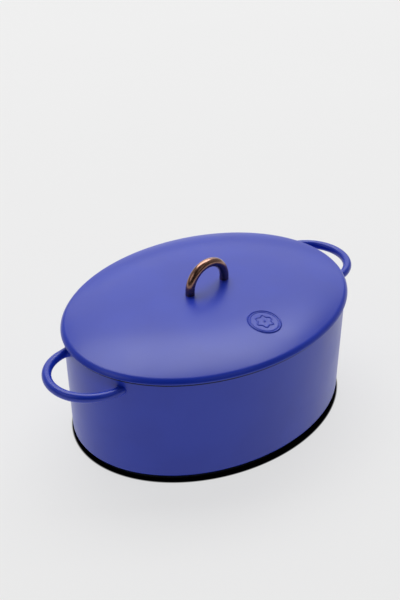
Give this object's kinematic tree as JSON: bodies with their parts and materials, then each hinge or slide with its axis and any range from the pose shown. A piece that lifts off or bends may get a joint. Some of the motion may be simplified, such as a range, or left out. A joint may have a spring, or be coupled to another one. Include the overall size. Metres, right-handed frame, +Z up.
{
  "type": "dutch oven",
  "caption": "Oval enamelled cast iron dutch oven with a domed lift-off lid, an arched metal lid handle and rod loop side handles.",
  "frame": {"origin": "on the floor, under the middle of the oval pot", "axes": "+X along the oval's long axis towards the right side handle, +Y to the back, +Z up"},
  "size_m": [0.391, 0.2482, 0.169],
  "materials": {
    "blue_enamel": "satin blue vitreous enamel over cast iron",
    "copper_finish": "polished copper plating",
    "screw_steel": "turned stainless steel"
  },
  "bodies": {
    "pot": {"pot_body": "blue_enamel", "left_side_handle": "blue_enamel", "right_side_handle": "blue_enamel"},
    "lid": {"lid": "blue_enamel", "lid_handle": "copper_finish", "left_lid_screw": "screw_steel", "right_lid_screw": "screw_steel", "left_washer": "screw_steel", "right_washer": "screw_steel"}
  },
  "joints": [
    {"name": "lid_lift", "type": "slide", "parent": "pot", "child": "lid", "axis": [0, 0, 1], "range_m": [0, 0.2]}
  ]
}
